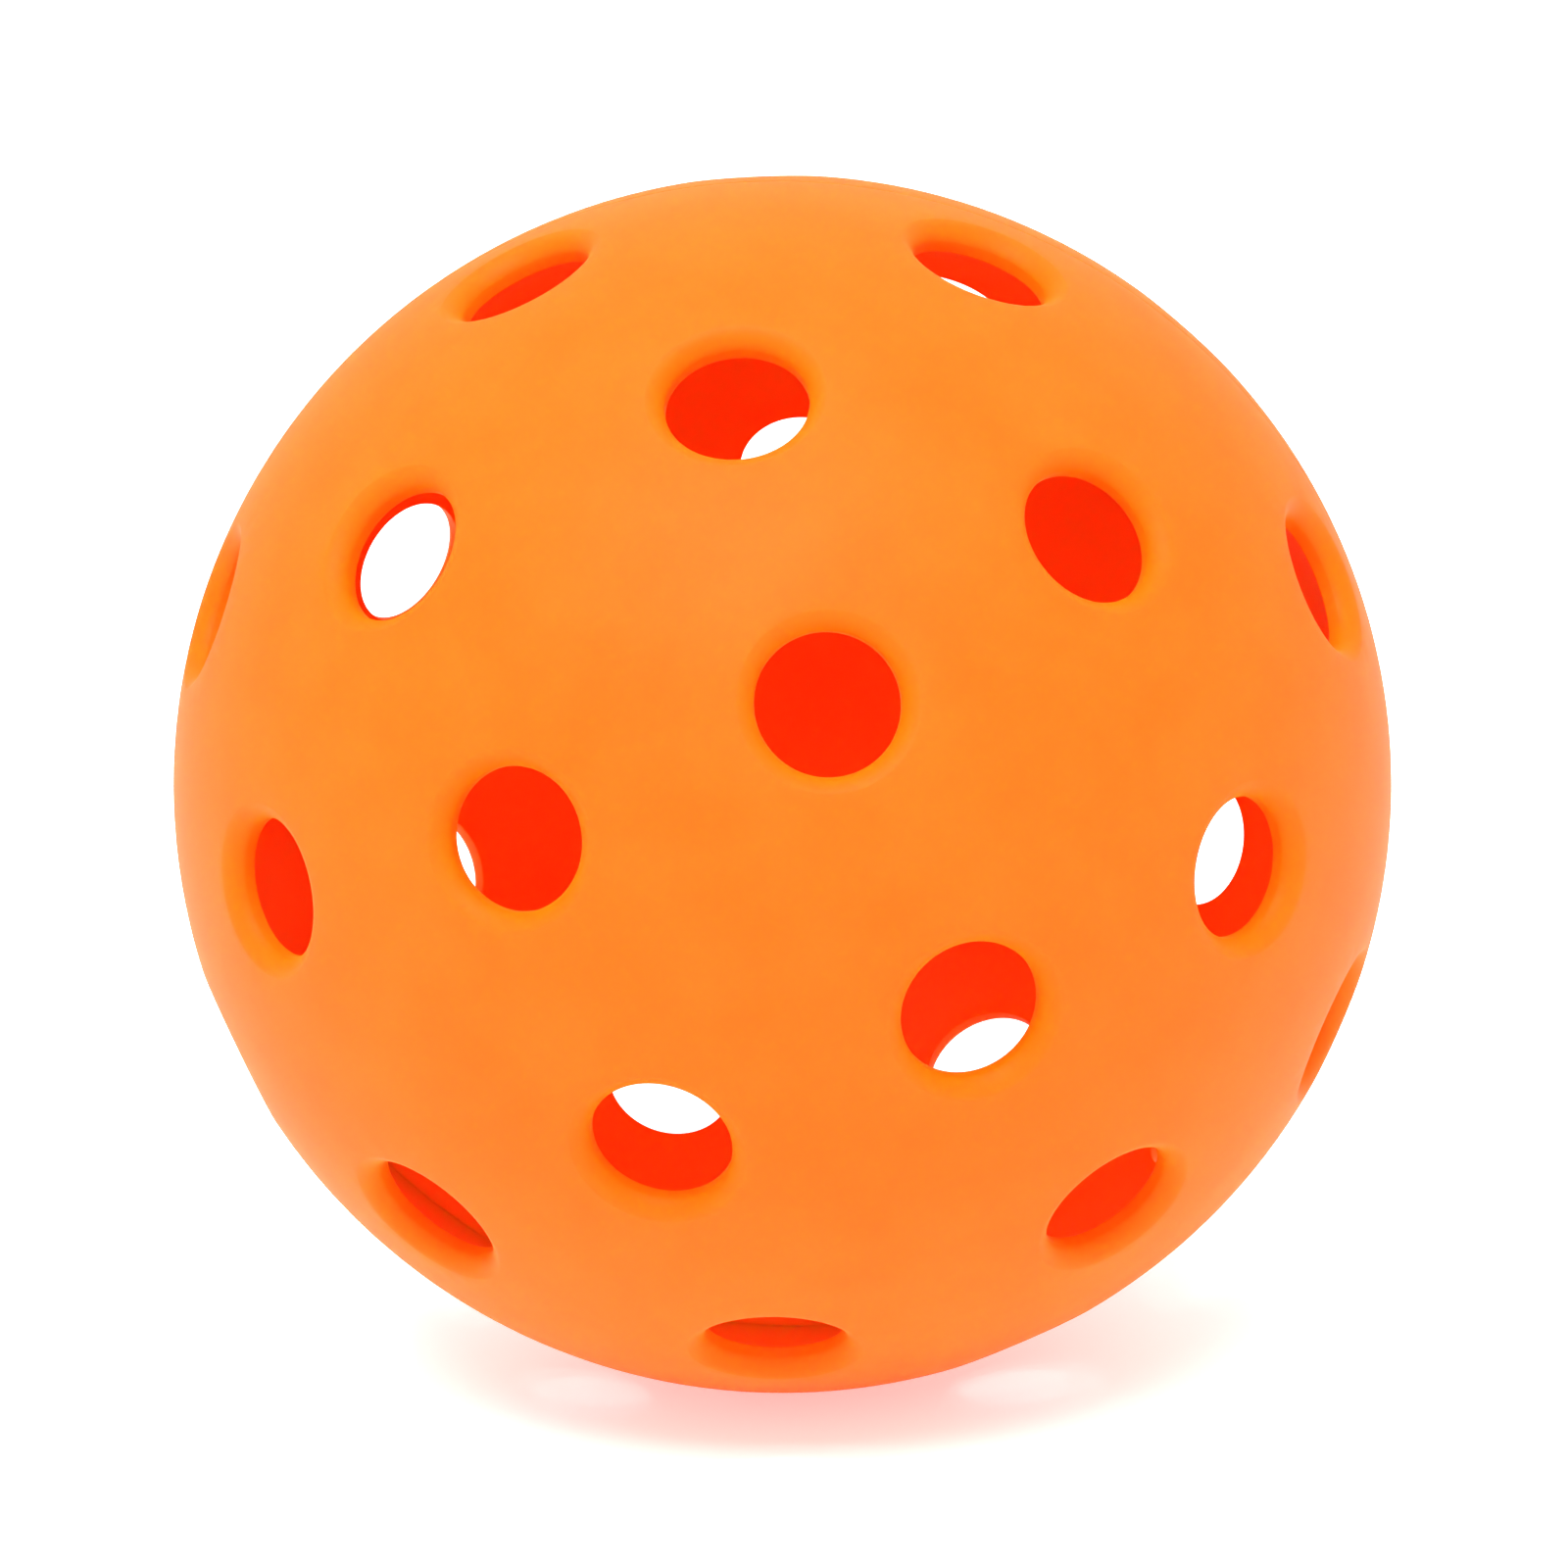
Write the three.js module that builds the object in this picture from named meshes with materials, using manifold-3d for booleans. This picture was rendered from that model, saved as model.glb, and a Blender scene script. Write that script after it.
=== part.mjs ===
// Pickleball ball: two perforated plastic half shells, welded together at the equator.
//
// Millimetres, +Z up, origin at the ball's centre. The mould axis lies along Y: the front half
// shell has its pole at -Y, the rear half shell at +Y, and the weld lies in the plane y = 0.
// A hole's place is a polar angle from its half's pole and an azimuth about the mould axis,
// counted from +Z towards -X.

import * as THREE from "three";
import { mergeVertices } from "three/addons/utils/BufferGeometryUtils.js";
import Module from "manifold-3d";

// Ball
const BALL_DIAMETER = 74;
const WALL = 1.8;

// Holes: each half has three rings, and each ring is staggered by half a step from the one before
const HOLE_DIAMETER = 8.2;
const LIP_WIDTH = 1.1; // a hole's outer edge is rounded over this much of the skin
const LIP_DEPTH = 1.0; // and this far down its bore
const RINGS = [
  { holes: 4, polar: 22.3, azimuth: -22.5 },
  { holes: 8, polar: 50.5, azimuth: 0 },
  { holes: 8, polar: 77.2, azimuth: 22.5 },
];
const REAR_TURN = 23.7; // how far the rear half is turned against the front one when they are welded

// Weld: a tongue on the front half's inner edge fits a rebate in the rear half
const TONGUE_HEIGHT = 1.2;
const WELD_GAP = 0.05;

// Fineness of the faceted solids
const SIDES_ROUND_BALL = 48;
const STEPS_POLE_TO_SEAM = 10;
const SIDES_ROUND_HOLE = 16;
const STEPS_ROUND_LIP = 2;

const OUTER_RADIUS = BALL_DIAMETER / 2;
const INNER_RADIUS = OUTER_RADIUS - WALL;
const TONGUE_RADIUS = (OUTER_RADIUS + INNER_RADIUS) / 2;
const FRONT = -1;
const REAR = 1;

const wasm = await Module();
wasm.setup();

// A closed geometry as a manifold-3d solid: shared corners merged, collapsed faces dropped.
function solidFrom(geometry) {
  const bare = geometry.clone();
  bare.deleteAttribute("normal");
  bare.deleteAttribute("uv");
  const merged = mergeVertices(bare, 1e-4);
  const corners = merged.index.array;
  const faces = [];
  for (let i = 0; i < corners.length; i += 3) {
    const [a, b, c] = corners.slice(i, i + 3);
    if (a !== b && b !== c && c !== a) faces.push(a, b, c);
  }
  const mesh = new wasm.Mesh({
    numProp: 3,
    vertProperties: Float32Array.from(merged.attributes.position.array),
    triVerts: Uint32Array.from(faces),
  });
  return new wasm.Manifold(mesh);
}

function geometryFrom(solid) {
  const { numProp, numVert, vertProperties, triVerts } = solid.getMesh();
  const positions = new Float32Array(3 * numVert);
  for (let i = 0; i < numVert; i++) {
    positions.set(vertProperties.subarray(i * numProp, i * numProp + 3), 3 * i);
  }
  const geometry = new THREE.BufferGeometry();
  geometry.setAttribute("position", new THREE.BufferAttribute(positions, 3));
  geometry.setIndex(new THREE.BufferAttribute(Uint32Array.from(triVerts), 1));
  geometry.computeVertexNormals();
  return geometry;
}

// Profile points on a circle about the ball's centre, between two heights along the mould axis.
function arcProfile(radius, fromHeight, toHeight, steps) {
  const from = Math.asin(fromHeight / radius);
  const to = Math.asin(toHeight / radius);
  const points = [];
  for (let i = 0; i <= steps; i++) {
    const angle = from + ((to - from) * i) / steps;
    points.push(new THREE.Vector2(radius * Math.cos(angle), radius * Math.sin(angle)));
  }
  return points;
}

// The profile starts and ends on the axis, so its first and last points are put exactly there.
function shellFrom(profile) {
  profile[0].x = 0;
  profile[profile.length - 1].x = 0;
  return solidFrom(new THREE.LatheGeometry(profile, SIDES_ROUND_BALL));
}

// Front half before its holes: from the pole up the outside, over the tongue, down the inside.
function frontBlank() {
  return shellFrom([
    ...arcProfile(OUTER_RADIUS, -OUTER_RADIUS, -WELD_GAP / 2, STEPS_POLE_TO_SEAM),
    new THREE.Vector2(TONGUE_RADIUS - WELD_GAP / 2, -WELD_GAP / 2),
    new THREE.Vector2(TONGUE_RADIUS - WELD_GAP / 2, TONGUE_HEIGHT - WELD_GAP),
    ...arcProfile(INNER_RADIUS, TONGUE_HEIGHT - WELD_GAP, -INNER_RADIUS, STEPS_POLE_TO_SEAM),
  ]);
}

// Rear half before its holes: from the pole down the inside, round the rebate, up the outside.
function rearBlank() {
  return shellFrom([
    ...arcProfile(INNER_RADIUS, INNER_RADIUS, TONGUE_HEIGHT, STEPS_POLE_TO_SEAM),
    new THREE.Vector2(TONGUE_RADIUS + WELD_GAP / 2, TONGUE_HEIGHT),
    new THREE.Vector2(TONGUE_RADIUS + WELD_GAP / 2, WELD_GAP / 2),
    ...arcProfile(OUTER_RADIUS, WELD_GAP / 2, OUTER_RADIUS, STEPS_POLE_TO_SEAM),
  ]);
}

// The plug that a hole removes, standing on Y: a straight bore that flares round the outer lip.
function holePlug() {
  const bore = HOLE_DIAMETER / 2;
  const mouth = bore + LIP_WIDTH;
  const lipTop = Math.sqrt(OUTER_RADIUS ** 2 - mouth ** 2);
  const inside = INNER_RADIUS - 2 * WALL;
  const outside = OUTER_RADIUS + WALL;
  const profile = [new THREE.Vector2(0, inside), new THREE.Vector2(bore, inside)];
  for (let i = 0; i <= STEPS_ROUND_LIP; i++) {
    const angle = (Math.PI / 2) * (i / STEPS_ROUND_LIP);
    const out = mouth - LIP_WIDTH * Math.cos(angle);
    const up = lipTop - LIP_DEPTH * (1 - Math.sin(angle));
    profile.push(new THREE.Vector2(out, up));
  }
  profile.push(new THREE.Vector2(mouth, outside), new THREE.Vector2(0, outside));
  return new THREE.LatheGeometry(profile, SIDES_ROUND_HOLE);
}

// The direction from the centre through a hole.
function holeDirection(half, polar, azimuth) {
  const p = THREE.MathUtils.degToRad(polar);
  const a = THREE.MathUtils.degToRad(azimuth);
  return new THREE.Vector3(
    -Math.sin(p) * Math.sin(a),
    half * Math.cos(p),
    Math.sin(p) * Math.cos(a),
  );
}

function holeDirections(half) {
  const turn = half === REAR ? REAR_TURN : 0;
  return RINGS.flatMap(({ holes, polar, azimuth }) =>
    Array.from({ length: holes }, (_, i) =>
      holeDirection(half, polar, azimuth + turn + (360 * i) / holes),
    ),
  );
}

function drill(blank, half) {
  const plug = holePlug();
  const along = new THREE.Vector3(0, 1, 0);
  let shell = blank;
  for (const direction of holeDirections(half)) {
    const turned = plug
      .clone()
      .applyQuaternion(new THREE.Quaternion().setFromUnitVectors(along, direction));
    shell = shell.subtract(solidFrom(turned));
  }
  return shell;
}

// Moulded polypropylene in safety orange, satin
function orangePlastic() {
  return new THREE.MeshStandardMaterial({ color: "#ff8b2b", roughness: 0.45, metalness: 0 });
}

function halfShell(name, blank, half) {
  const mesh = new THREE.Mesh(geometryFrom(drill(blank, half)), orangePlastic());
  mesh.name = name;
  return mesh;
}

const ball = new THREE.Group();
ball.name = "pickleball_ball";
ball.add(halfShell("front_half_shell", frontBlank(), FRONT));
ball.add(halfShell("rear_half_shell", rearBlank(), REAR));

export default ball;
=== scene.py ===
# Pickleball ball: two perforated half shells of orange plastic, on a pale floor.
# Metres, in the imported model's frame: origin at the ball's centre, mould axis along Y,
# front pole at -Y, rear pole at +Y, weld in the plane y = 0, +Z up.

from math import atan2, copysign, cos, pi, radians, sin, sqrt, tau

import bmesh
import bpy
from mathutils import Matrix, Vector


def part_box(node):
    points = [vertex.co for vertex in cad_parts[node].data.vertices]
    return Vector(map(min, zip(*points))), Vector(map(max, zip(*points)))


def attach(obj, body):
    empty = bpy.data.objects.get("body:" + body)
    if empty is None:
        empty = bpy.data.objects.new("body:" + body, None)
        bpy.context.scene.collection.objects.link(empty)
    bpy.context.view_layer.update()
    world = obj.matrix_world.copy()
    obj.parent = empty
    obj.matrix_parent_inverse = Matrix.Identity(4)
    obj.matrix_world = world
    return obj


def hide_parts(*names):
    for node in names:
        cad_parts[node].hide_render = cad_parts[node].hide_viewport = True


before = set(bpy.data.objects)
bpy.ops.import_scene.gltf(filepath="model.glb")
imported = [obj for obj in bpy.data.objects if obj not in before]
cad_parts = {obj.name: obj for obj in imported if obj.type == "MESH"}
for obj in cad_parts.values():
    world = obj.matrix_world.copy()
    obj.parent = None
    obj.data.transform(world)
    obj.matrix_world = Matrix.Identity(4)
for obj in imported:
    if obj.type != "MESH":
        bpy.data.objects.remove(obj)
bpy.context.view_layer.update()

MM = 0.001

# --- Sizes -------------------------------------------------------------------------------

BALL_RADIUS = max(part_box("front_half_shell")[1].x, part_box("rear_half_shell")[1].x)
WALL = 1.8 * MM
INNER_RADIUS = BALL_RADIUS - WALL

HOLE_RADIUS = 4.1 * MM
LIP_WIDTH = 1.1 * MM  # a hole's outer edge is rounded over this much of the skin
LIP_DEPTH = 1.0 * MM  # and this far down its bore
LIP_FLATNESS = 1.25  # 1 is a plain quarter of an ellipse
INNER_EDGE = 0.12 * MM  # round on a hole's inner edge

# Rings of holes on one half: how many, degrees from the pole, first hole's degrees round the
# mould axis from +Z towards -X
RINGS = ((4, 22.3, -22.5), (8, 50.5, 0.0), (8, 77.2, 22.5))
REAR_TURN = 23.7  # the rear half is welded on turned by this much

TONGUE_HEIGHT = 1.2 * MM
WELD_GAP = 0.01 * MM  # the CAD halves stand 0.05 mm apart, and the real ones are melted together
RIM_ROUND = 0.1 * MM  # round on each half's outer edge, which leaves a fine line at the weld

SIDES_ROUND_HOLE = 96  # a multiple of 4, and so is the next
SIDES_ROUND_RIM = 288
SKIN_LEVEL = 4  # subdivisions of the icosphere whose corners fill the skins
SKIN_CLEARANCE = 0.04  # those corners keep this share of the radius from a hole or the rim
EDGE_CORNER_STEP = 4.0  # one in this many of an edge's corners goes into the hull
HULL_DIVISIONS = 2  # halvings that bring the hull back to every corner of the edges
SAME_PLACE = 0.001 * MM
NEAR_RIM = 0.02 * MM

SHARP_CORNER = radians(40)  # the tongue's and the rebate's corners turn by more than this

FLOOR_SIZE = 6.0

COLOUR_A, COLOUR_B, COLOUR_OUT = 6, 7, 2  # a Mix node's colour sockets, by place
# The painted shade in the bores and on the inner skin follows this attribute
SHARE_OF_WALL = "share_of_wall"  # attribute: 0 on the outer skin to 1 at a bore's inner edge
INSIDE_SHADE_SHARE = 0.2  # and this all over the inner skin

# --- Colours -----------------------------------------------------------------------------


def linear(hex_colour, alpha=1.0):
    """An sRGB hex colour as the linear RGBA that a shader socket takes."""
    channels = [int(hex_colour[i : i + 2], 16) / 255 for i in (1, 3, 5)]
    curve = [c / 12.92 if c <= 0.04045 else ((c + 0.055) / 1.055) ** 2.4 for c in channels]
    return (*curve, alpha)


# --- Nodes -------------------------------------------------------------------------------


def add(tree, kind, inputs=None, **settings):
    """Adds a node, sets its properties, and fills or links its inputs."""
    node = tree.nodes.new(kind)
    for key, value in settings.items():
        setattr(node, key, value)
    for key, value in (inputs or {}).items():
        if isinstance(value, bpy.types.NodeSocket):
            tree.links.new(value, node.inputs[key])
        else:
            node.inputs[key].default_value = value
    return node


# --- Materials ---------------------------------------------------------------------------


def moulded_orange_plastic():
    """Injection-moulded polypropylene in safety orange. Slightly milky, so light soaks a millimetre
    or two into it and thin edges glow redder; a satin skin from the mould.
    Down the hole bores and over the inner skin the colour is turned to a deeper, blue-free orange as
    painted shade."""
    material = bpy.data.materials.new("moulded_polypropylene_orange")
    material.use_nodes = True
    tree = material.node_tree
    tree.nodes.clear()
    place = add(tree, "ShaderNodeTexCoord").outputs["Object"]

    # Flow marks: broad, faint changes of shade, 6 mm and 1.5 mm across
    broad = add(
        tree,
        "ShaderNodeTexNoise",
        {"Vector": place, "Scale": 1 / (6 * MM), "Detail": 3.0, "Roughness": 0.55},
    )
    shade = add(
        tree,
        "ShaderNodeValToRGB",
        {"Fac": broad.outputs["Fac"]},
    )
    shade.color_ramp.elements[0].position = 0.3
    shade.color_ramp.elements[0].color = linear("#ff570c")
    shade.color_ramp.elements[1].position = 0.7
    shade.color_ramp.elements[1].color = linear("#ff5c10")

    # Painted shade: the colour turns a deeper, blue-free orange over the first part of each hole's
    # wall, and halfway so over the inner skin. It stands in for the shade and the orange bounce light
    # in the bores and inside the ball.
    down_bore = add(tree, "ShaderNodeAttribute", attribute_name=SHARE_OF_WALL)
    bore_shade_mix = add(
        tree, "ShaderNodeMapRange", {"Value": down_bore.outputs["Fac"], "From Max": 0.4}
    )
    colour = add(
        tree,
        "ShaderNodeMix",
        {
            "Factor": bore_shade_mix.outputs["Result"],
            COLOUR_A: shade.outputs["Color"],
            COLOUR_B: linear("#ff5a00"),
        },
        data_type="RGBA",
    )

    # Satin grain of the mould, about 0.1 mm across on a real ball and drawn at 0.25 mm to show
    grain = add(
        tree,
        "ShaderNodeTexNoise",
        {"Vector": place, "Scale": 1 / (0.25 * MM), "Detail": 2.0, "Roughness": 0.5},
    )
    bump = add(
        tree,
        "ShaderNodeBump",
        {"Strength": 0.12, "Distance": 0.02 * MM, "Height": grain.outputs["Fac"]},
    )
    shader = add(
        tree,
        "ShaderNodeBsdfPrincipled",
        {
            "Base Color": colour.outputs[COLOUR_OUT],
            "Roughness": 0.55,
            "IOR": 1.49,
            "Specular IOR Level": 0.07,  # far below a bare plastic's, for a nearly matt skin
            "Subsurface Weight": 0.75,
            "Subsurface Radius": (1.0, 0.08, 0.03),
            "Subsurface Scale": 2.0 * MM,
            "Normal": bump.outputs["Normal"],
        },
    )
    add(tree, "ShaderNodeOutputMaterial", {"Surface": shader.outputs["BSDF"]})
    return material


def pale_floor_material():
    """Opal white acrylic table, lit a little from below, so that shadows on it are pale."""
    material = bpy.data.materials.new("lit_opal_acrylic")
    material.use_nodes = True
    shader = material.node_tree.nodes["Principled BSDF"]
    shader.inputs["Base Color"].default_value = linear("#f7f7f6")
    shader.inputs["Roughness"].default_value = 0.9
    shader.inputs["Emission Color"].default_value = (1.0, 1.0, 1.0, 1.0)
    shader.inputs["Emission Strength"].default_value = 0.4
    return material


# --- Profiles and turned meshes ----------------------------------------------------------


def arc(centre, width, height, start, end, steps, flatness=1.0):
    """Points (out, along) on an ellipse, with angles counted from the outward direction.
    Flatness above 1 pulls it towards a chamfer with quick turns at its two ends."""
    points = []
    for i in range(steps + 1):
        turn = start + (end - start) * i / steps
        across = copysign(abs(cos(turn)) ** flatness, cos(turn))
        up = copysign(abs(sin(turn)) ** flatness, sin(turn))
        points.append((centre[0] + width * across, centre[1] + height * up))
    return points


def hole_wall_profile():
    """From the outer skin over the round lip, down the bore and round the inner edge."""
    outer = HOLE_RADIUS + LIP_WIDTH
    lip_centre = (outer, sqrt(BALL_RADIUS**2 - outer**2) - LIP_DEPTH)
    inner = HOLE_RADIUS + INNER_EDGE
    edge_centre = (inner, sqrt((INNER_RADIUS + INNER_EDGE) ** 2 - inner**2))
    edge_end = pi + atan2(edge_centre[1], inner)
    lip = arc(lip_centre, LIP_WIDTH, LIP_DEPTH, pi / 2, pi, 14, LIP_FLATNESS)
    edge = arc(edge_centre, INNER_EDGE, INNER_EDGE, pi, edge_end, 4)
    return lip + edge


def rim_profile(side):
    """The half shell's edge at the weld, from the outer skin to the inner one. The front
    half carries the tongue and the rear half the rebate round it."""
    gap = WELD_GAP / 2
    level = side * gap
    middle = (BALL_RADIUS + INNER_RADIUS) / 2 + side * gap
    round_height = level + side * RIM_ROUND
    round_out = sqrt((BALL_RADIUS - RIM_ROUND) ** 2 - round_height**2)
    start = atan2(round_height, round_out)
    tongue = TONGUE_HEIGHT if side > 0 else TONGUE_HEIGHT - WELD_GAP
    corner = arc((round_out, round_height), RIM_ROUND, RIM_ROUND, start, -side * pi / 2, 5)
    return corner + [
        (middle, level),
        (middle, tongue),
        (sqrt(INNER_RADIUS**2 - tongue**2), tongue),
    ]


def turned_object(name, profile, sides, along):
    """A strip of faces: the profile turned about the Z or the Y axis. Its attribute counts
    from 0 at the profile's first point to 1 at its last."""
    mesh = bpy.data.meshes.new(name)
    points = []
    for out, height in profile:
        for i in range(sides):
            x, y = out * cos(tau * i / sides), out * sin(tau * i / sides)
            points.append((x, y, height) if along == "Z" else (x, height, y))
    faces = []
    for row in range(len(profile) - 1):
        for i in range(sides):
            a, b = row * sides + i, row * sides + (i + 1) % sides
            faces.append((a, b, b + sides, a + sides))
    mesh.from_pydata(points, [], faces)
    # This count sets how much painted shade a point of the wall or rim gets
    share = mesh.attributes.new(SHARE_OF_WALL, "FLOAT", "POINT")
    for i in range(len(points)):
        share.data[i].value = (i // sides) / (len(profile) - 1)
    return bpy.data.objects.new(name, mesh)


# --- Perforated half shell, by Geometry Nodes --------------------------------------------

SHELL_INPUTS = (
    ("Outer Radius", "NodeSocketFloat"),
    ("Inner Radius", "NodeSocketFloat"),
    ("Hole Wall", "NodeSocketObject"),
    ("Rim", "NodeSocketObject"),
    ("Lip Reach Outside", "NodeSocketFloat"),
    ("Lip Reach Inside", "NodeSocketFloat"),
    ("Rim Height Outside", "NodeSocketFloat"),
    ("Rim Height Inside", "NodeSocketFloat"),
    ("Pole Side", "NodeSocketFloat"),
    ("Turn", "NodeSocketFloat"),
    ("Skin Level", "NodeSocketInt"),
    ("Material", "NodeSocketMaterial"),
)
RING_INPUTS = (
    ("Holes", "NodeSocketInt"),
    ("From Pole", "NodeSocketFloat"),
    ("First Hole", "NodeSocketFloat"),
)


def maths(tree, operation, a, b=0.0):
    """The result of one operation on sockets or numbers."""
    node = add(tree, "ShaderNodeMath", operation=operation)
    for socket, value in zip(node.inputs, (a, b)):
        if isinstance(value, bpy.types.NodeSocket):
            tree.links.new(value, socket)
        else:
            socket.default_value = value
    return node.outputs[0]


def ring_of_directions(tree, sizes, ring):
    """One point on the unit sphere for each hole of a ring."""
    polar = sizes[f"Ring {ring} From Pole"]
    turn = maths(tree, "ADD", sizes[f"Ring {ring} First Hole"], sizes["Turn"])
    circle = add(
        tree,
        "GeometryNodeMeshCircle",
        {"Vertices": sizes[f"Ring {ring} Holes"], "Radius": maths(tree, "SINE", polar)},
    )
    spin = add(tree, "ShaderNodeCombineXYZ", {"Z": turn})
    turned = add(
        tree,
        "GeometryNodeTransform",
        {"Geometry": circle.outputs["Mesh"], "Rotation": spin.outputs["Vector"]},
    )
    flat = add(
        tree, "ShaderNodeSeparateXYZ", {"Vector": add(tree, "GeometryNodeInputPosition").outputs[0]}
    )
    stood = add(
        tree,
        "ShaderNodeCombineXYZ",
        {
            "X": maths(tree, "MULTIPLY", flat.outputs["Y"], -1.0),
            "Y": maths(tree, "MULTIPLY", maths(tree, "COSINE", polar), sizes["Pole Side"]),
            "Z": flat.outputs["X"],
        },
    )
    return add(
        tree,
        "GeometryNodeSetPosition",
        {"Geometry": turned.outputs["Geometry"], "Position": stood.outputs["Vector"]},
    ).outputs["Geometry"]


def join(tree, *parts):
    node = add(tree, "GeometryNodeJoinGeometry")
    for part in parts:
        tree.links.new(part, node.inputs[0])
    return node.outputs[0]


def scaled(tree, geometry, factor):
    size = add(tree, "ShaderNodeCombineXYZ", {"X": factor, "Y": factor, "Z": factor})
    return add(
        tree, "GeometryNodeTransform", {"Geometry": geometry, "Scale": size.outputs["Vector"]}
    ).outputs["Geometry"]


def distance_to(tree, points):
    node = add(tree, "GeometryNodeProximity", target_element="POINTS")
    tree.links.new(points, node.inputs[0])
    return node.outputs["Distance"]


def delete(tree, geometry, domain, test):
    return add(
        tree,
        "GeometryNodeDeleteGeometry",
        {"Geometry": geometry, "Selection": test},
        domain=domain,
    ).outputs["Geometry"]


def either(tree, a, b):
    node = add(tree, "FunctionNodeBooleanMath", operation="OR")
    tree.links.new(a, node.inputs[0])
    tree.links.new(b, node.inputs[1])
    return node.outputs[0]


def compare(tree, operation, a, b):
    node = add(tree, "FunctionNodeCompare", operation=operation, data_type="FLOAT")
    for socket, value in zip(node.inputs, (a, b)):
        if isinstance(value, bpy.types.NodeSocket):
            tree.links.new(value, socket)
        else:
            socket.default_value = value
    return node.outputs[0]


def skin(tree, sizes, radius, directions, edges, reach, rim_height):
    """One spherical skin with its holes and its open edge. Its corners are those of an
    icosphere, away from the holes and the edge, and every fourth one of those of the hole
    walls and the rim that lie on it. Their hull, less the faces that close a hole or the
    edge, is divided twice and each new corner put on the sphere or on its hole's edge."""
    clear = maths(tree, "MULTIPLY", radius, SKIN_CLEARANCE)
    ball = add(
        tree,
        "GeometryNodeMeshIcoSphere",
        {"Radius": radius, "Subdivisions": sizes["Skin Level"]},
    ).outputs["Mesh"]
    centres = scaled(tree, directions, radius)
    position = add(tree, "GeometryNodeInputPosition").outputs[0]
    height = add(tree, "ShaderNodeSeparateXYZ", {"Vector": position}).outputs["Y"]
    to_pole = maths(tree, "MULTIPLY", maths(tree, "SUBTRACT", height, rim_height), sizes["Pole Side"])
    from_hole = distance_to(tree, centres)
    near_hole = compare(tree, "LESS_THAN", from_hole, maths(tree, "ADD", reach, clear))
    near_rim = compare(tree, "LESS_THAN", to_pole, clear)
    fill = delete(tree, ball, "POINT", either(tree, near_hole, near_rim))

    length = add(tree, "ShaderNodeVectorMath", {0: position}, operation="LENGTH").outputs["Value"]
    off_skin = maths(tree, "ABSOLUTE", maths(tree, "SUBTRACT", length, radius))
    on_skin = delete(tree, edges, "POINT", compare(tree, "GREATER_THAN", off_skin, SAME_PLACE))
    index = add(tree, "GeometryNodeInputIndex").outputs[0]
    between = compare(tree, "GREATER_THAN", maths(tree, "MODULO", index, EDGE_CORNER_STEP), 0.5)
    fourth = delete(tree, on_skin, "POINT", between)

    hull = add(tree, "GeometryNodeConvexHull", {"Geometry": join(tree, fill, fourth)}).outputs[0]
    hull = add(tree, "GeometryNodeTriangulate", {"Mesh": hull}).outputs["Mesh"]
    over_hole = compare(tree, "LESS_THAN", from_hole, reach)
    over_rim = compare(tree, "LESS_THAN", to_pole, NEAR_RIM)
    open_skin = delete(tree, hull, "FACE", either(tree, over_hole, over_rim))
    fine = add(
        tree, "GeometryNodeSubdivideMesh", {"Mesh": open_skin, "Level": HULL_DIVISIONS}
    ).outputs["Mesh"]
    outward = add(tree, "ShaderNodeVectorMath", {0: position}, operation="NORMALIZE").outputs[0]
    round_place = add(
        tree, "ShaderNodeVectorMath", {0: outward, "Scale": radius}, operation="SCALE"
    ).outputs[0]
    fine = add(
        tree, "GeometryNodeSetPosition", {"Geometry": fine, "Position": round_place}
    ).outputs["Geometry"]
    faces_at_edge = add(tree, "GeometryNodeInputMeshEdgeNeighbors").outputs["Face Count"]
    edge_place = add(
        tree,
        "GeometryNodeSampleIndex",
        {
            "Geometry": on_skin,
            "Value": position,
            "Index": add(tree, "GeometryNodeSampleNearest", {"Geometry": on_skin}).outputs[0],
        },
        data_type="FLOAT_VECTOR",
    ).outputs[0]
    return add(
        tree,
        "GeometryNodeSetPosition",
        {
            "Geometry": fine,
            "Selection": compare(tree, "LESS_THAN", faces_at_edge, 1.5),
            "Position": edge_place,
        },
    ).outputs["Geometry"]


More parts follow.
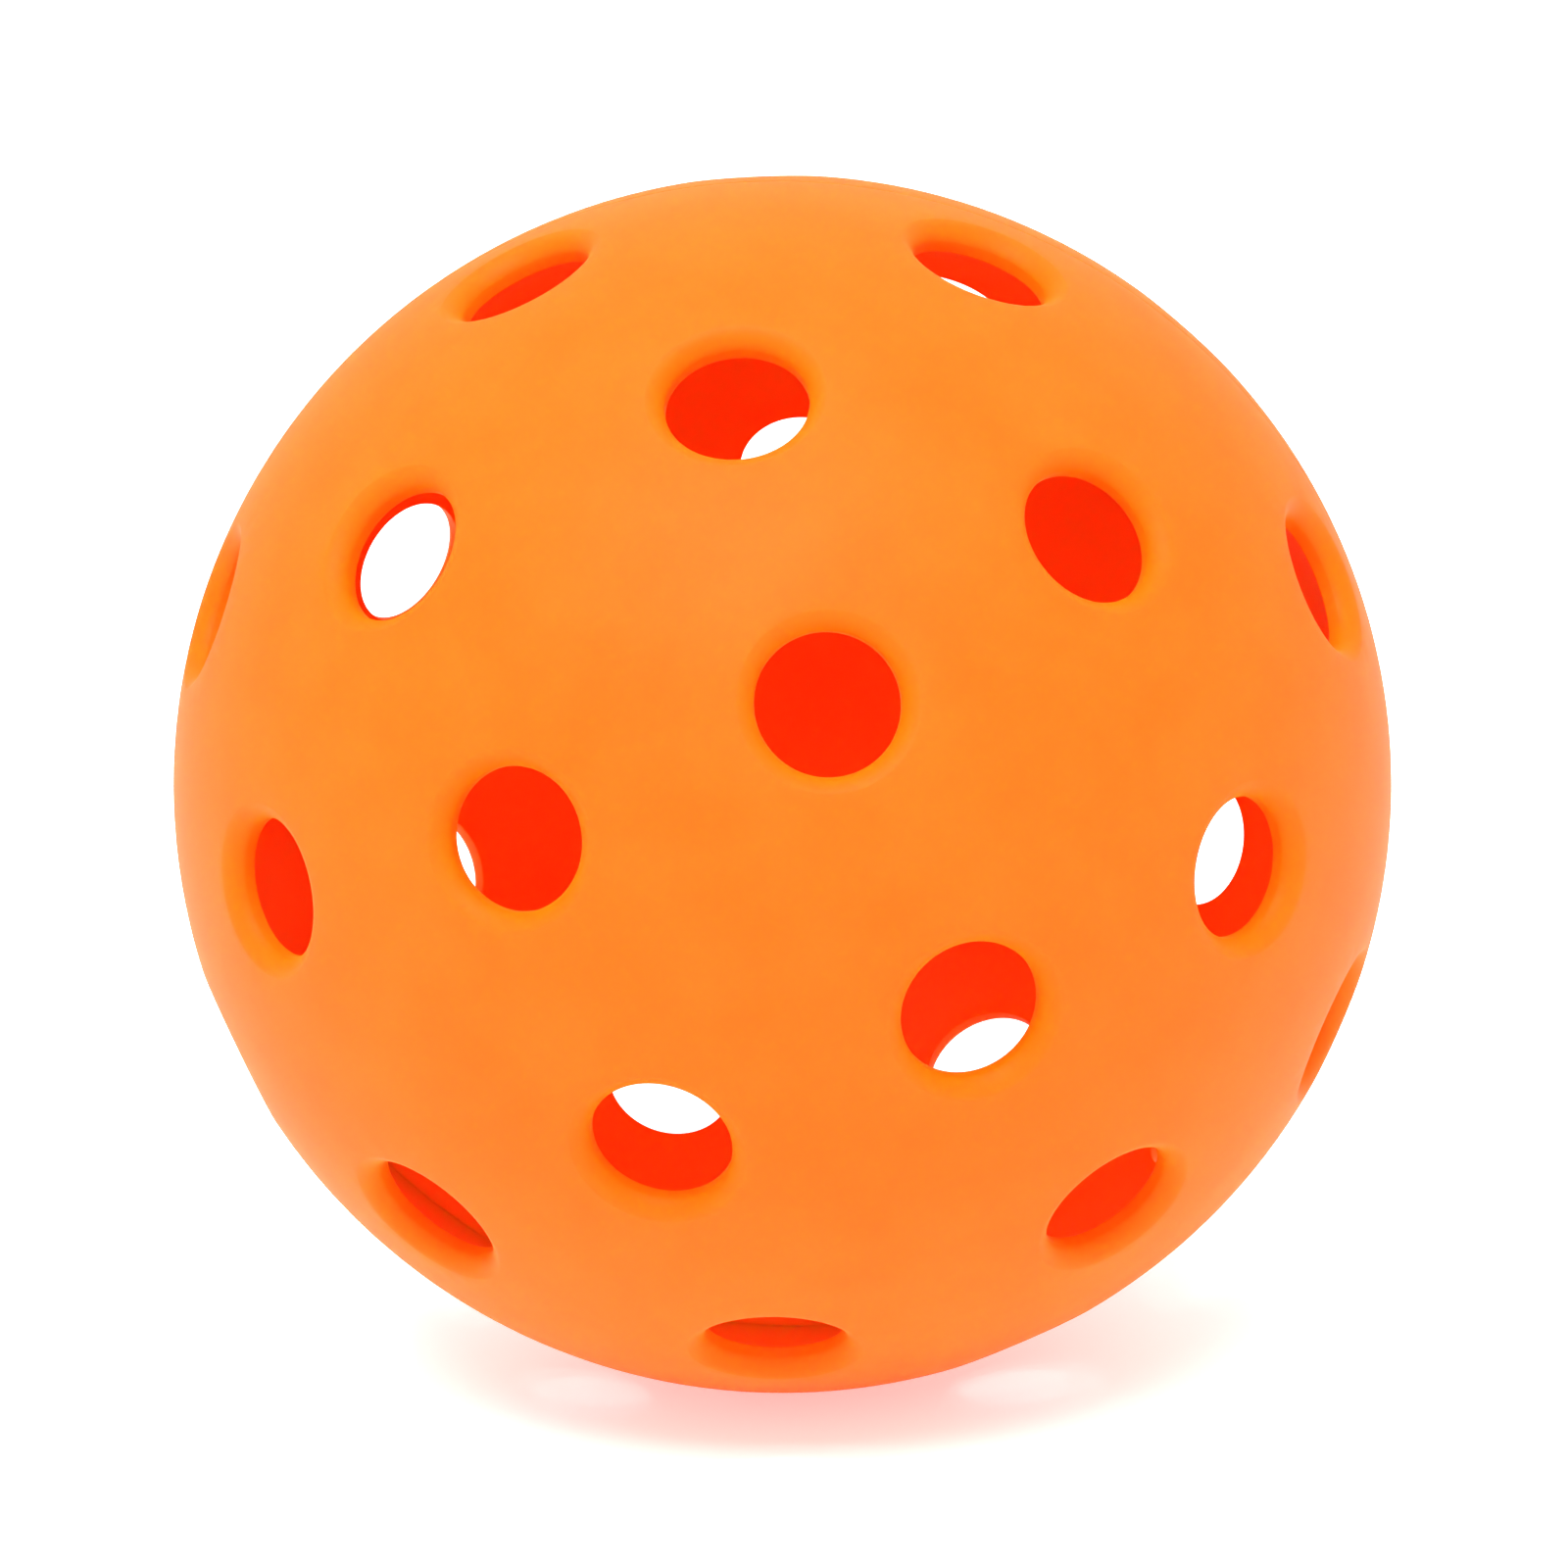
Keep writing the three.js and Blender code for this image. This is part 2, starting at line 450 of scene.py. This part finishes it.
def perforated_shell_tree():
    tree = bpy.data.node_groups.new("perforated_half_shell", "GeometryNodeTree")
    rings = range(1, len(RINGS) + 1)
    names = list(SHELL_INPUTS)
    names += [(f"Ring {ring} {name}", kind) for ring in rings for name, kind in RING_INPUTS]
    for name, kind in names:
        tree.interface.new_socket(name, in_out="INPUT", socket_type=kind)
    tree.interface.new_socket("Geometry", in_out="OUTPUT", socket_type="NodeSocketGeometry")
    sizes = add(tree, "NodeGroupInput").outputs

    directions = join(tree, *[ring_of_directions(tree, sizes, ring) for ring in rings])
    outward = add(
        tree,
        "FunctionNodeAlignRotationToVector",
        {"Vector": add(tree, "GeometryNodeInputPosition").outputs[0]},
        axis="Z",
    ).outputs["Rotation"]
    wall = add(tree, "GeometryNodeObjectInfo", {"Object": sizes["Hole Wall"]}).outputs["Geometry"]
    # The walls are made about the ball's centre, so each is only turned to its hole
    at_centre = add(
        tree,
        "GeometryNodeInstanceOnPoints",
        {"Points": directions, "Instance": wall, "Rotation": outward},
    ).outputs["Instances"]
    back = add(
        tree,
        "ShaderNodeVectorMath",
        {0: add(tree, "GeometryNodeInputPosition").outputs[0], "Scale": -1.0},
        operation="SCALE",
    ).outputs["Vector"]
    at_centre = add(
        tree, "GeometryNodeTranslateInstances", {"Instances": at_centre, "Translation": back}
    )
    at_centre.inputs["Local Space"].default_value = False
    walls = add(
        tree, "GeometryNodeRealizeInstances", {"Geometry": at_centre.outputs["Instances"]}
    ).outputs["Geometry"]
    rim = add(tree, "GeometryNodeObjectInfo", {"Object": sizes["Rim"]}).outputs["Geometry"]
    edges = join(tree, walls, rim)

    outside = skin(
        tree, sizes, sizes["Outer Radius"], directions, edges,
        sizes["Lip Reach Outside"], sizes["Rim Height Outside"],
    )
    inside = skin(
        tree, sizes, sizes["Inner Radius"], directions, edges,
        sizes["Lip Reach Inside"], sizes["Rim Height Inside"],
    )
    inside = add(tree, "GeometryNodeFlipFaces", {"Mesh": inside}).outputs["Mesh"]
    # Half of the bores' painted shade, all over the inner skin
    inside = add(
        tree,
        "GeometryNodeStoreNamedAttribute",
        {"Geometry": inside, "Name": SHARE_OF_WALL, "Value": INSIDE_SHADE_SHARE},
        data_type="FLOAT",
        domain="POINT",
    ).outputs["Geometry"]
    shell = add(
        tree,
        "GeometryNodeMergeByDistance",
        {"Geometry": join(tree, outside, inside, edges), "Distance": SAME_PLACE},
    ).outputs["Geometry"]
    shell = add(tree, "GeometryNodeSetShadeSmooth", {"Geometry": shell}).outputs["Geometry"]
    shell = add(tree, "GeometryNodeRealizeInstances", {"Geometry": shell}).outputs["Geometry"]
    shell = add(
        tree, "GeometryNodeSetMaterial", {"Geometry": shell, "Material": sizes["Material"]}
    ).outputs["Geometry"]
    add(tree, "NodeGroupOutput", {"Geometry": shell})
    return tree


def half_shell(name, side, turn, tree, hole_wall, material):
    """A finished half shell as a plain closed mesh."""
    rim_points = rim_profile(side)
    rim = turned_object(name + "_rim", rim_points, SIDES_ROUND_RIM, "Y")
    wall_points = hole_wall_profile()
    values = {
        "Outer Radius": BALL_RADIUS,
        "Inner Radius": INNER_RADIUS,
        "Hole Wall": hole_wall,
        "Rim": rim,
        "Lip Reach Outside": wall_points[0][0],
        "Lip Reach Inside": wall_points[-1][0],
        "Rim Height Outside": rim_points[0][1],
        "Rim Height Inside": rim_points[-1][1],
        "Pole Side": float(side),
        "Turn": radians(turn),
        "Skin Level": SKIN_LEVEL,
        "Material": material,
    }
    for ring, (holes, polar, first) in enumerate(RINGS, 1):
        values[f"Ring {ring} Holes"] = holes
        values[f"Ring {ring} From Pole"] = radians(polar)
        values[f"Ring {ring} First Hole"] = radians(first)

    maker = bpy.data.objects.new(name + "_maker", bpy.data.meshes.new(name + "_maker"))
    for helper in (maker, rim, hole_wall):
        if helper.name not in bpy.context.scene.collection.objects:
            bpy.context.scene.collection.objects.link(helper)
    modifier = maker.modifiers.new("shell", "NODES")
    modifier.node_group = tree
    for item in tree.interface.items_tree:
        if item.in_out == "INPUT":
            modifier[item.identifier] = values[item.name]
    bpy.context.view_layer.update()
    evaluated = maker.evaluated_get(bpy.context.evaluated_depsgraph_get())
    mesh = bpy.data.meshes.new_from_object(evaluated)
    mesh.name = name
    bpy.data.objects.remove(maker)
    bpy.data.objects.remove(rim)

    edit = bmesh.new()
    edit.from_mesh(mesh)
    bmesh.ops.recalc_face_normals(edit, faces=edit.faces)
    open_edges = sum(1 for edge in edit.edges if len(edge.link_faces) != 2)
    if open_edges:
        raise RuntimeError(f"{name} has {open_edges} open edges")
    for edge in edit.edges:
        edge.smooth = edge.calc_face_angle() < SHARP_CORNER
    edit.to_mesh(mesh)
    edit.free()
    shell = bpy.data.objects.new(name, mesh)
    bpy.context.scene.collection.objects.link(shell)
    return shell


# --- Ball --------------------------------------------------------------------------------

plastic = moulded_orange_plastic()
shell_tree = perforated_shell_tree()
hole_wall = turned_object("hole_wall", hole_wall_profile(), SIDES_ROUND_HOLE, "Z")

front = half_shell("front_half", -1, 0.0, shell_tree, hole_wall, plastic)
rear = half_shell("rear_half", 1, REAR_TURN, shell_tree, hole_wall, plastic)
bpy.data.objects.remove(hole_wall)

for piece, node in ((front, "front_half_shell"), (rear, "rear_half_shell")):
    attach(piece, "root")
    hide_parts(node)

# --- Floor, light and camera -------------------------------------------------------------

bpy.ops.mesh.primitive_plane_add(size=FLOOR_SIZE, location=(0, 0, -BALL_RADIUS))
floor = bpy.context.object
floor.name = "floor"
floor.data.materials.append(pale_floor_material())

scene = bpy.context.scene
scene.view_settings.view_transform = "Standard"

world = bpy.data.worlds.new("soft_white_room")
world.use_nodes = True
world.node_tree.nodes["Background"].inputs["Color"].default_value = (1, 1, 1, 1)
world.node_tree.nodes["Background"].inputs["Strength"].default_value = 1.12
scene.world = world


def soft_box(name, towards, distance, size, watts):
    """A square soft light that faces the ball's centre."""
    light = bpy.data.lights.new(name, "AREA")
    light.shape = "SQUARE"
    light.size = size
    light.energy = watts
    lamp = bpy.data.objects.new(name, light)
    place = Vector(towards).normalized() * distance
    lamp.matrix_world = Matrix.Translation(place) @ place.to_track_quat("Z", "Y").to_matrix().to_4x4()
    scene.collection.objects.link(lamp)
    return lamp


soft_box("key_light", (-0.06, -0.5, 0.85), 1.2, 0.7, 26.0)

CAMERA_AZIMUTH = 4.3
CAMERA_ELEVATION = 13.6
CAMERA_ROLL = -2.3
CAMERA_DISTANCE = 10.2 * BALL_RADIUS
BALL_SHARE_OF_FRAME = 0.7769  # the outline's diameter as a share of the frame's width
SENSOR = 36.0

camera_data = bpy.data.cameras.new("camera")
camera_data.sensor_width = SENSOR
outline_slope = BALL_RADIUS / sqrt(CAMERA_DISTANCE**2 - BALL_RADIUS**2)
camera_data.lens = SENSOR * BALL_SHARE_OF_FRAME / 2 / outline_slope
camera_data.shift_x = 0.001
camera_data.clip_start = 0.01
camera = bpy.data.objects.new("camera", camera_data)
scene.collection.objects.link(camera)
azimuth, elevation = radians(CAMERA_AZIMUTH), radians(CAMERA_ELEVATION)
back = Vector((sin(azimuth) * cos(elevation), -cos(azimuth) * cos(elevation), sin(elevation)))
camera.matrix_world = (
    Matrix.Translation(back * CAMERA_DISTANCE)
    @ back.to_track_quat("Z", "Y").to_matrix().to_4x4()
    @ Matrix.Rotation(radians(CAMERA_ROLL), 4, "Z")
)
scene.camera = camera
